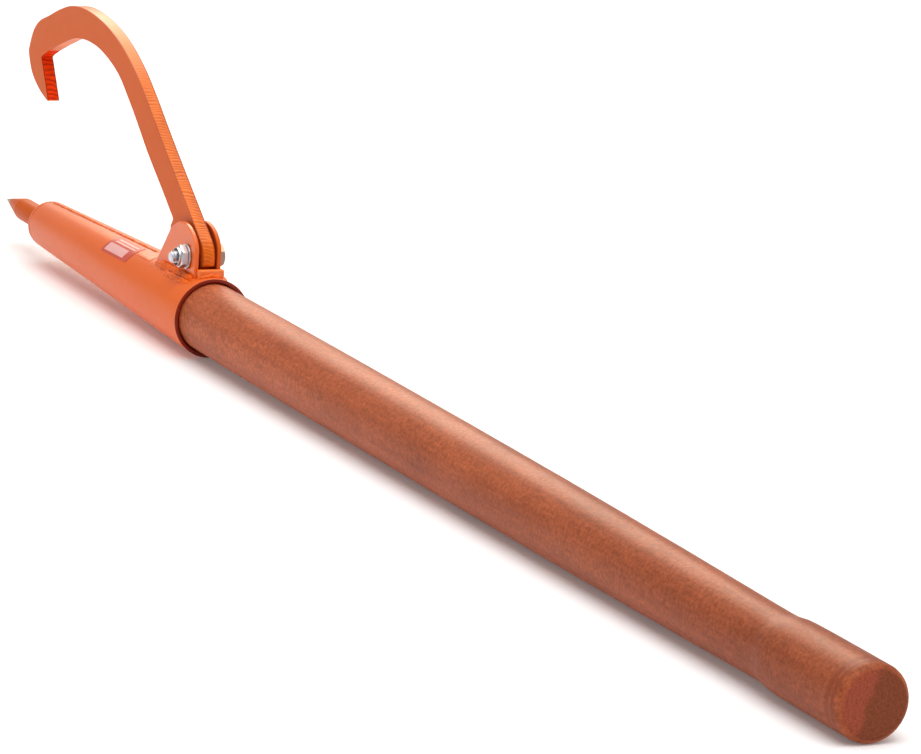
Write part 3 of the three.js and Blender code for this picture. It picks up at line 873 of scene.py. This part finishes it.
def ear_outline(low, high):
    """Outline of a clevis ear: straight rear edge, round top, straight slope to the front."""
    rear_x, top = high.x, high.z
    shoulder = top - EAR_SHOULDER_DROP
    top_x = rear_x - EAR_TOP_SETBACK
    slope_x, slope_z = rear_x - EAR_SLOPE_SETBACK, top - EAR_SLOPE_DROP
    pull = 1 - EAR_CURVE_SHARE
    rear_foot = Vector((rear_x, 0, EAR_FOOT_HEIGHT))
    front_foot = Vector((low.x, 0, EAR_FOOT_HEIGHT - (rear_x - low.x) * EAR_FOOT_FALL_SHARE))
    first = interpolate_bezier(
        Vector((rear_x, 0, shoulder)),
        Vector((rear_x, 0, shoulder + (top - shoulder) * EAR_CURVE_SHARE)),
        Vector((top_x + (rear_x - top_x) * pull, 0, top)),
        Vector((top_x, 0, top)), 24)
    second = interpolate_bezier(
        Vector((top_x, 0, top)),
        Vector((top_x - (top_x - slope_x) * pull, 0, top)),
        Vector((slope_x + (top_x - slope_x) * pull, 0,
                slope_z + (top - slope_z) * EAR_CURVE_SHARE)),
        Vector((slope_x, 0, slope_z)), 24)
    return [rear_foot, *first, *second[1:], front_foot]


class PEAVEY_OT_clevis(bpy.types.Operator):
    """The two ears that hold the hook, and the bar across their rear"""

    bl_idname = "peavey.clevis"
    bl_label = "Clevis"

    def execute(self, context):
        near_paint, far_paint, bar_paint = clevis_materials()
        for node, name, paint in (
                ("clevis_ear_near", "near_ear", near_paint),
                ("clevis_ear_far", "far_ear", far_paint)):
            low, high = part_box(node)
            bm = plate(ear_outline(low, high), low.y, high.y)
            finish_piece(bm, name, [paint], node, sharp_angle=50, flat_axis=1)
        low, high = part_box("clevis_cross_bar")
        low.z, edge_round = BAR_FOOT_HEIGHT, 1.1 * MM
        place = Matrix.Translation((low + high) / 2) @ Matrix.Diagonal((*(high - low), 1))
        bm = bmesh.new()
        bmesh.ops.create_cube(bm, size=1, matrix=place)
        bmesh.ops.bevel(
            bm, geom=bm.edges[:], offset=edge_round, affect="EDGES", segments=5, profile=0.5,
            material=-1)
        finish_piece(
            bm, "cross_bar", [bar_paint], "clevis_cross_bar", sharp_angle=50)
        return {"FINISHED"}


def hook_outline(sizes):
    """Outline of the hook, and the stretch of it that is the inner face of the tip."""
    def place(shares):
        return PIVOT + Vector((-sizes.hook_reach * shares[0], 0, sizes.hook_rise * shares[1]))

    def around(radius, degrees):
        return around_pivot(radius, math.radians(degrees))

    def arc(radius, start, end):
        count = max(2, round(abs(math.radians(end - start)) * radius / step))
        return [around(radius, start + (end - start) * i / count) for i in range(count + 1)]

    step = 0.45 * MM
    tip = place(HOOK_TIP_SHARES)
    notch = [place(shares) for shares in HOOK_NOTCH_SHARES]
    back = [around(sizes.heel_radius, HOOK_BACK_ANGLE)]
    back += [place(shares) for shares in HOOK_BACK_SHARES + HOOK_NOSE_SHARES] + [tip]
    outline = spline(back, step)
    tip_start = len(outline)
    for start, end in zip([tip, *notch], notch):
        outline += straight_line(start, end, step)[1:]
    tip_end = len(outline)
    belly = [notch[-1]] + [place(shares) for shares in HOOK_BELLY_SHARES]
    belly.append(around(sizes.eye_radius, HOOK_BELLY_ANGLE))
    outline += spline(belly, step)[1:]
    outline += arc(sizes.eye_radius, HOOK_BELLY_ANGLE, HOOK_EYE_LOW_ANGLE)[1:]
    heel_start = around(sizes.heel_radius, HOOK_HEEL_LOW_ANGLE)
    outline += straight_line(outline[-1], heel_start, step)[1:-1]
    outline += arc(sizes.heel_radius, HOOK_HEEL_LOW_ANGLE, HOOK_BACK_ANGLE)[:-1]
    return outline, (tip_start, tip_end)


def cut_ridges(bm, outline, tip_range, low_y, high_y, sizes):
    """Cuts the ridges that a flame leaves into the edge of the hook, and notes the painted shade of
    each groove and of the rims.
    """
    count = len(outline)
    tree = KDTree(count)
    lengths = [0.0]
    for i, point in enumerate(outline):
        tree.insert((point.x, 0, point.z), i)
        lengths.append(lengths[-1] + (outline[(i + 1) % count] - point).length)
    tree.balance()
    shade = bm.loops.layers.float.new("cut_shade")
    middle, half = (low_y + high_y) / 2, (high_y - low_y) / 2
    crown = PIVOT.z + sizes.hook_rise * 0.9
    rim_share, rim_shade = 0.82, 0.9
    tip_start, tip_end = tip_range
    # Painted shade of each vertex: dark on the rims beside the flat sides, and darker the deeper a
    # groove is.
    painted_shade, tip_verts = {}, set()
    for vert in bm.verts:
        flat = Vector((vert.co.x, 0, vert.co.z))
        if (flat - PIVOT).length < sizes.eye_radius - 2 * MM:
            continue
        i = tree.find(flat)[1]
        across = (vert.co.y - middle) / half
        if abs(across) > 0.999:
            painted_shade[vert] = rim_shade
            continue
        tangent = (outline[(i + 1) % count] - outline[i - 1]).normalized()
        inward = Vector((-tangent.z, 0, tangent.x))
        along = lengths[i] + (flat - outline[i]).dot(tangent)
        if tip_start <= i <= tip_end:
            pitch, depth, dark, drag = sizes.cut_pitch, sizes.cut_depth, 0.8, 0.1
        else:
            smooth_crown = min(1.0, max(0.12, (crown - flat.z) / (25 * MM)))
            patchy = 0.75 + noise.noise(Vector((along * 55, across * 0.6, 2))) * 0.9
            pitch, depth, drag = sizes.cut_pitch * 0.72, sizes.cut_depth * 0.5 * smooth_crown, 0.18
            dark = 0.62 * smooth_crown * patchy
        lean = drag * (across + across * across)
        uneven = noise.noise(Vector((along * 120, across * 0.5, 4))) * 4.5
        ridge = 0.5 + 0.5 * math.sin(math.tau * (along / pitch + lean) + uneven)
        fine = 0.5 + noise.noise(Vector((along * 1300, across * 1.2, 9)))
        fade = min(1.0, (1.0 - abs(across)) * 6 + 0.4)
        groove = (0.7 * ridge * ridge + 0.3 * fine) * fade
        vert.co += inward * depth * groove
        painted_shade[vert] = max(groove * dark, rim_shade if abs(across) > rim_share else 0.0)
    for vert in bm.verts:
        if tip_start <= tree.find(Vector((vert.co.x, 0, vert.co.z)))[1] <= tip_end:
            tip_verts.add(vert)
    for face in bm.faces:
        upright = abs(face.normal.y)
        if upright < 0.3:
            face.material_index = 2 if all(vert in tip_verts for vert in face.verts) else 1
        for loop in face.loops:
            loop[shade] = 0.0 if upright > 0.999 else painted_shade.get(loop.vert, 0.0)


class PEAVEY_OT_hook(bpy.types.Operator):
    """Flame-cut plate hook that swings on the pivot bolt"""

    bl_idname = "peavey.hook"
    bl_label = "Hook"

    def execute(self, context):
        sizes = context.scene.peavey_sizes
        low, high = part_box("hook")
        outline, tip_range = hook_outline(sizes)
        bm = plate(outline, low.y, high.y)
        bm.normal_update()
        cross = [e for e in bm.edges
                 if abs(e.verts[0].co.y - e.verts[1].co.y) > (high.y - low.y) * 0.7]
        bmesh.ops.subdivide_edges(bm, edges=cross, cuts=7, use_grid_fill=True)
        cut_ridges(bm, outline, tip_range, low.y, high.y, sizes)
        finish_piece(
            bm, "flame_cut_hook", hook_materials(), "hook",
            body="hook", sharp_angle=50, flat_axis=1)
        return {"FINISHED"}


def hexagon(bm, flats, inner_y, outer_y):
    """A hexagon about the pivot's line whose outer corners are turned off."""
    flat_radius = flats / 2
    corner_radius = flat_radius / math.cos(math.pi / 6)
    face_radius = flat_radius * 0.97
    chamfer = math.tan(math.radians(30))
    steps_per_side = 10
    rim = []
    for side in range(6):
        a, b = (Vector((math.cos(t), 0, math.sin(t))) * corner_radius
                for t in (math.tau * (side + 0.5) / 6, math.tau * (side + 1.5) / 6))
        rim += [a.lerp(b, i / steps_per_side) for i in range(steps_per_side)]
    way = 1 if outer_y > inner_y else -1
    edges = chain(bm, [PIVOT + p + Vector((0, inner_y, 0)) for p in rim], closed=True)
    bmesh.ops.edgeloop_fill(bm, edges=edges)
    for stage in ("side", "chamfer"):
        grown = bmesh.ops.extrude_edge_only(bm, edges=edges)["geom"]
        edges = [g for g in grown if isinstance(g, bmesh.types.BMEdge)]
        for vert in (g for g in grown if isinstance(g, bmesh.types.BMVert)):
            spoke = Vector((vert.co.x - PIVOT.x, 0, vert.co.z - PIVOT.z))
            if stage == "side":
                vert.co.y = outer_y - way * (spoke.length - face_radius) * chamfer
            else:
                vert.co = PIVOT + spoke.normalized() * face_radius + Vector((0, outer_y, 0))
    bmesh.ops.edgeloop_fill(bm, edges=edges)


def from_pivot(pairs):
    """Points from [y, radius] pairs, measured from the pivot."""
    return [PIVOT + Vector((radius, y, 0)) for y, radius in pairs]


def pour(part, bm):
    """Adds a part's mesh to another's, and frees the part."""
    mesh = mesh_of(part, "part")
    bm.from_mesh(mesh)
    bpy.data.meshes.remove(mesh)


def turned_about_pivot(bm, profile):
    """Adds a skin turned about the pivot's line from [y, radius] pairs."""
    part = bmesh.new()
    chain(part, from_pivot(profile), closed=profile[0][1] > 0 and profile[-1][1] > 0)
    turn(part, FASTENER_STEPS, PIVOT, Y_AXIS)
    pour(part, bm)


def thread_ridge(bm, start_y, end_y, sizes):
    """A helical ridge on the bolt, from one y to the other."""
    steps, pitch = 48, sizes.thread_pitch
    turns = max(1, round(abs(end_y - start_y) / pitch) - 1)
    root, crest = sizes.bolt_radius - 0.75 * MM, sizes.bolt_radius - 0.02 * MM
    half_root, half_crest, middle = pitch * 0.42, pitch * 0.07, start_y + pitch * 0.5
    tooth = from_pivot((
        (middle - half_root, root), (middle - half_crest, crest),
        (middle + half_crest, crest), (middle + half_root, root)))
    part = bmesh.new()
    bmesh.ops.edgeloop_fill(part, edges=chain(part, tooth, closed=True))
    bmesh.ops.spin(
        part, geom=part.faces[:], cent=PIVOT, axis=Y_AXIS, dvec=(0, pitch / steps, 0),
        angle=math.tau * turns, steps=steps * turns)
    close_skin(part)
    pour(part, bm)


class PEAVEY_OT_bolt(bpy.types.Operator):
    """Hexagon bolt that the hook swings on"""

    bl_idname = "peavey.bolt"
    bl_label = "Pivot bolt"

    def execute(self, context):
        sizes = context.scene.peavey_sizes
        low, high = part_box("pivot_bolt")
        seat_gap, thread_length = 0.3 * MM, 12 * MM
        head_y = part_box("clevis_ear_far")[1].y + seat_gap
        thread_end = low.y + thread_length
        shank, core, end = (sizes.bolt_radius - cut * MM for cut in (0.02, 0.7, 0.95))
        bm = bmesh.new()
        hexagon(bm, sizes.hexagon_flats, head_y, high.y)
        turned_about_pivot(bm, [
            (low.y, 0), (low.y, end), (low.y + 0.25 * MM, core), (thread_end, core),
            (thread_end + 0.6 * MM, shank), (head_y + 1 * MM, shank), (head_y + 1 * MM, 0)])
        thread_ridge(bm, low.y + 0.1 * MM, thread_end, sizes)
        finish_piece(
            bm, "hexagon_bolt", [zinc_material()], "pivot_bolt", sharp_angle=20)
        return {"FINISHED"}


class PEAVEY_OT_nut(bpy.types.Operator):
    """Lock nut with its nylon ring, and the washer under it"""

    bl_idname = "peavey.nut"
    bl_label = "Lock nut and washer"

    def execute(self, context):
        sizes = context.scene.peavey_sizes
        zinc = bpy.data.materials["bright_zinc"]
        self.add_nut(sizes, zinc)
        self.add_ring(context.scene.peavey_finish.nylon)
        self.add_washer(sizes, zinc)
        return {"FINISHED"}

    def add_nut(self, sizes, zinc):
        """A hexagon with a round collar whose lip is rolled in over the ring."""
        low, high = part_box("lock_nut")
        collar_y = low.y + 1.7 * MM
        collar_root, outside, inside = collar_y + 0.5 * MM, 5.9 * MM, 5.4 * MM
        # Depth below the collar's end and radius, both in millimetres, round the lip
        lip = ((0.6, 5.9), (0.2, 5.8), (0.05, 5.6), (0.15, 5.45), (0.5, 5.4))
        bm = bmesh.new()
        hexagon(bm, sizes.hexagon_flats, high.y, collar_y)
        turned_about_pivot(bm, [
            (collar_root, outside),
            *((low.y + depth * MM, radius * MM) for depth, radius in lip),
            (collar_root, inside)])
        finish_piece(bm, "hexagon_nut", [zinc], "lock_nut", sharp_angle=20)

    def add_ring(self, colour):
        """The dark ring, which stands a little proud of the collar's hollow."""
        low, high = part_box("nut_insert")
        face_y, edge_y = low.y - 0.4 * MM, low.y - 0.2 * MM
        hole, face_inner, face_outer, rim = 4.05 * MM, 4.3 * MM, 5.2 * MM, 5.38 * MM
        bm = bmesh.new()
        turned_about_pivot(bm, [
            (face_y, face_inner), (face_y, face_outer), (edge_y, rim),
            (high.y, rim), (high.y, hole), (edge_y, hole)])
        nylon = plain_material("dark_nylon", colour, 0.45)
        finish_piece(bm, "nylon_ring", [nylon], "nut_insert")

    def add_washer(self, sizes, zinc):
        """A flat ring with rounded edges."""
        low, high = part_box("nut_washer")
        hole, rim = sizes.bolt_radius + sizes.bolt_clearance, sizes.washer_radius
        edge_round = 0.25 * MM
        section = ((low.y, hole), (low.y, rim), (high.y, rim), (high.y, hole))
        bm = bmesh.new()
        chain(bm, from_pivot(section), closed=True)
        round_corners(bm, edge_round)
        turn(bm, WASHER_STEPS, PIVOT, Y_AXIS)
        finish_piece(bm, "flat_washer", [zinc], "nut_washer")


class PEAVEY_OT_screw(bpy.types.Operator):
    """Pan-head screw that keeps the handle in the socket"""

    bl_idname = "peavey.screw"
    bl_label = "Handle screw"

    def execute(self, context):
        low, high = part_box("handle_screw")
        centre = (low + high) / 2
        rim, seat_y, shank = (high.x - low.x) / 2, high.y - 2.6 * MM, 2.2 * MM
        profile = [
            (low.y, 0), (low.y + 4 * MM, shank), (seat_y, shank), (seat_y, rim),
            (seat_y + 0.9 * MM, rim), (seat_y + 1.7 * MM, rim * 0.86),
            (seat_y + 2.3 * MM, rim * 0.62), (high.y, rim * 0.4), (high.y, 0)]
        bm = bmesh.new()
        chain(bm, [centre + Vector((radius, y - centre.y, 0)) for y, radius in profile])
        turn(bm, FASTENER_STEPS, centre, Y_AXIS)
        zinc = bpy.data.materials["bright_zinc"]
        screw = finish_piece(bm, "pan_head_screw", [zinc], "handle_screw")
        self.cut_recess(screw, Vector((centre.x, high.y, centre.z)))
        return {"FINISHED"}

    def cut_recess(self, screw, top):
        """Cuts a cross recess into the screw's head."""
        length, depth, width = 4.6 * MM, 2.6 * MM, 1.0 * MM
        cutter = bmesh.new()
        for size in ((length, depth, width), (width, depth, length)):
            place = Matrix.Translation(top) @ Matrix.Diagonal((*size, 1))
            bmesh.ops.create_cube(cutter, size=1, matrix=place)
        tool = new_object("recess", mesh_of(cutter, "recess"))
        boolean = screw.modifiers.new("recess", "BOOLEAN")
        boolean.object = tool
        boolean.operation = "DIFFERENCE"
        boolean.solver = "EXACT"
        boolean.use_self = True
        carved = shaped_mesh(screw)
        screw.modifiers.clear()
        old = screw.data
        screw.data = carved
        bpy.data.meshes.remove(old)
        bpy.data.objects.remove(tool)
        carved.set_sharp_from_angle(angle=math.radians(35))


def film(name, node, materials, length, width, angle, fields=()):
    """A thin film with rounded corners on the socket, with pale fields in shares of its size."""
    low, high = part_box(node)
    centre_x = (low.x + high.x) / 2
    corner, underside, face_lift = 1.6 * MM, 0.02 * MM, 0.28 * MM
    parts_along, parts_round = 8, 16
    bm = bmesh.new()
    bmesh.ops.create_grid(bm, x_segments=1, y_segments=1, size=0.5)
    bmesh.ops.scale(bm, vec=(length, width, 1), verts=bm.verts)
    bmesh.ops.bevel(
        bm, geom=bm.verts[:], offset=corner, affect="VERTICES", segments=6, profile=0.5,
        material=-1)
    cuts_x = {share for f in fields for share in f[:2]}
    cuts_x |= {i / parts_along for i in range(1, parts_along)}
    cuts_y = {share for f in fields for share in f[2:]}
    cuts_y |= {i / parts_round for i in range(1, parts_round)}
    for normal, span, cuts in ((X_AXIS, length, cuts_x), (Y_AXIS, width, cuts_y)):
        for share in sorted(cuts):
            cut_along(bm, normal * span * (share - 0.5), normal)
    for face in bm.faces:
        middle = face.calc_center_median()
        u, v = middle.x / length + 0.5, middle.y / width + 0.5
        face.material_index = int(any(f[0] < u < f[1] and f[2] < v < f[3] for f in fields))
    grown = bmesh.ops.extrude_face_region(bm, geom=bm.faces[:])["geom"]
    top = {g for g in grown if isinstance(g, bmesh.types.BMVert)}
    for vert in bm.verts:
        x = centre_x + vert.co.x
        radius = socket_radius(x) + (face_lift if vert in top else underside)
        turned = math.asin(vert.co.y / radius) - angle
        vert.co = Vector((x, radius * math.sin(turned), radius * math.cos(turned)))
    bmesh.ops.recalc_face_normals(bm, faces=bm.faces)
    finish_piece(bm, name, materials, node, sharp_angle=50)


class PEAVEY_OT_films(bpy.types.Operator):
    """The label, with plain pale fields, and the clear film"""

    bl_idname = "peavey.films"
    bl_label = "Label and clear film"

    def execute(self, context):
        sizes, finish = context.scene.peavey_sizes, context.scene.peavey_finish
        ground = plain_material("label_ground", finish.label, 0.4, 0.05)
        panel = plain_material("label_panel", finish.label_panel, 0.4, 0.05)
        film("blank_label_film", "label_film", [ground, panel],
             sizes.label_length, sizes.label_width, math.radians(31), LABEL_FIELDS)
        under_film = shade_of(finish.paint, 0.96)
        clear = plain_material("clear_film_on_paint", under_film, 0.36, 0.06, 0.02)
        film("clear_film_patch", "clear_film", [clear],
             sizes.clear_film_length, sizes.clear_film_width, math.radians(18.5))
        return {"FINISHED"}


# Studio

def aim_along(lamp, direction):
    """Turns a lamp so that it shines along a direction."""
    lamp.rotation_euler = Vector(direction).to_track_quat("-Z", "Y").to_euler()


def sun(name, direction, energy, spread_degrees):
    """A soft, far light that shines along a direction."""
    light = bpy.data.lights.new(name, "SUN")
    light.energy = energy
    light.angle = math.radians(spread_degrees)
    lamp = new_object(name, light)
    aim_along(lamp, direction)
    return lamp


def softbox(name, place, aim, power):
    """A light panel whose light comes from a place."""
    light = bpy.data.lights.new(name, "AREA")
    light.shape = "RECTANGLE"
    light.size, light.size_y = 1.0, 1.3
    light.energy = power
    lamp = new_object(name, light)
    lamp.location = place
    aim_along(lamp, Vector(aim) - Vector(place))
    lamp.visible_camera = False
    return lamp


class PEAVEY_OT_stage(bpy.types.Operator):
    """Pale floor, soft light and the camera at the photograph's place"""

    bl_idname = "peavey.stage"
    bl_label = "Studio"

    def execute(self, context):
        context.scene.view_settings.view_transform = "Standard"
        self.add_floor(context.scene)
        self.add_backdrop(context.scene)
        self.add_lamps()
        self.add_camera(context.scene)
        return {"FINISHED"}

    def add_floor(self, scene):
        """The tool lies on the rim of the socket's mouth and on the knob."""
        slope = math.atan((MOUTH_RADIUS - scene.peavey_sizes.knob_radius) / -MOUTH_X)
        under_mouth = Matrix.Translation((MOUTH_X, 0, -MOUTH_RADIUS))
        floor_reach = 30
        bm = bmesh.new()
        bmesh.ops.create_grid(bm, x_segments=4, y_segments=4, size=floor_reach)
        bmesh.ops.transform(
            bm, matrix=under_mouth @ Matrix.Rotation(-slope, 4, "Y"), verts=bm.verts)
        mesh = mesh_of(bm, "studio_floor")
        paper = plain_material("floor_paper", scene.peavey_finish.floor, 0.7, 0, 0.01)
        shader = paper.node_tree.nodes["Principled BSDF"]
        shader.inputs["Emission Color"].default_value = (1, 1, 1, 1)
        shader.inputs["Emission Strength"].default_value = 0.1
        mesh.materials.append(paper)
        floor = new_object("studio_floor", mesh)

    def add_backdrop(self, scene):
        """Soft light that is weaker from one side, behind a backdrop that looks white."""
        world = bpy.data.worlds.new("studio")
        scene.world = world
        world.use_nodes = True
        tree = world.node_tree
        background = tree.nodes["Background"]
        dark_side = tree.nodes.new("ShaderNodeVectorMath")
        dark_side.operation = "DOT_PRODUCT"
        dark_side.inputs[1].default_value = (0.75, -0.35, -0.55)
        direction = tree.nodes.new("ShaderNodeTexCoord").outputs["Generated"]
        tree.links.new(direction, dark_side.inputs[0])
        level = remap(tree, dark_side.outputs["Value"], -0.8, 0.6, 0.5, 0.14)
        seen = tree.nodes.new("ShaderNodeLightPath").outputs["Is Camera Ray"]
        tree.links.new(math_node(tree, "MAXIMUM", level, seen), background.inputs["Strength"])
        background.inputs["Color"].default_value = (1, 1, 1, 1)

    def add_lamps(self):
        """Three soft lights, and two warm ones that show in reflections alone."""
        sun("key_light", (-0.12, 0.12, -0.985), 2.05, 55)
        sun("front_light", (-0.65, -0.25, -0.7), 0.6, 65)
        sun("side_light", (-0.35, 0.9, -0.35), 0.12, 70)
        for lamp in (sun("crown_gloss", (0.3, -0.375, -0.88), 0.95, 24),
                     softbox("handle_gloss", (-2.2, 0.52, 1.2), (-0.35, 0, 0), 38)):
            lamp.data.color = GLOSS_LIGHT_COLOUR
            lamp.visible_diffuse = False

    def add_camera(self, scene):
        """A long lens, fitted to the outline in the photograph."""
        camera = bpy.data.cameras.new("camera")
        camera.lens = 175.9
        camera.sensor_width = 36
        camera.clip_start, camera.clip_end = 0.1, 60
        holder = new_object("camera", camera)
        holder.location = (1.7365, -1.0751, 0.6133)
        holder.rotation_euler = [math.radians(angle) for angle in (76.995, -3.7, 64.8565)]
        scene.camera = holder


OPERATORS = (
    PEAVEY_OT_handle, PEAVEY_OT_socket, PEAVEY_OT_end_cap, PEAVEY_OT_spike, PEAVEY_OT_welds,
    PEAVEY_OT_clevis, PEAVEY_OT_hook, PEAVEY_OT_bolt, PEAVEY_OT_nut, PEAVEY_OT_screw,
    PEAVEY_OT_films, PEAVEY_OT_stage,
)


class PEAVEY_PT_pieces(bpy.types.Panel):
    """Lists the pieces and their sizes"""

    bl_idname = "PEAVEY_PT_pieces"
    bl_label = "Peavey"
    bl_space_type = "VIEW_3D"
    bl_region_type = "UI"
    bl_category = "Peavey"

    def draw(self, context):
        for operator in OPERATORS:
            self.layout.operator(operator.bl_idname)
        for group in (context.scene.peavey_sizes, context.scene.peavey_finish):
            for name in group.__annotations__:
                self.layout.prop(group, name)


CLASSES = (PeaveySizes, PeaveyFinish, *OPERATORS, PEAVEY_PT_pieces)


def register():
    """Makes the settings, the operators and the panel known."""
    for each in CLASSES:
        bpy.utils.register_class(each)
    bpy.types.Scene.peavey_sizes = PointerProperty(type=PeaveySizes)
    bpy.types.Scene.peavey_finish = PointerProperty(type=PeaveyFinish)


def unregister():
    """Takes them away again."""
    del bpy.types.Scene.peavey_finish
    del bpy.types.Scene.peavey_sizes
    for each in reversed(CLASSES):
        bpy.utils.unregister_class(each)


def main():
    """Builds the pieces and the studio in order."""
    register()
    bpy.ops.peavey.handle()
    bpy.ops.peavey.socket()
    bpy.ops.peavey.end_cap()
    bpy.ops.peavey.spike()
    bpy.ops.peavey.welds()
    bpy.ops.peavey.clevis()
    bpy.ops.peavey.hook()
    bpy.ops.peavey.bolt()
    bpy.ops.peavey.nut()
    bpy.ops.peavey.screw()
    bpy.ops.peavey.films()
    bpy.ops.peavey.stage()


if __name__ == "__main__":
    main()
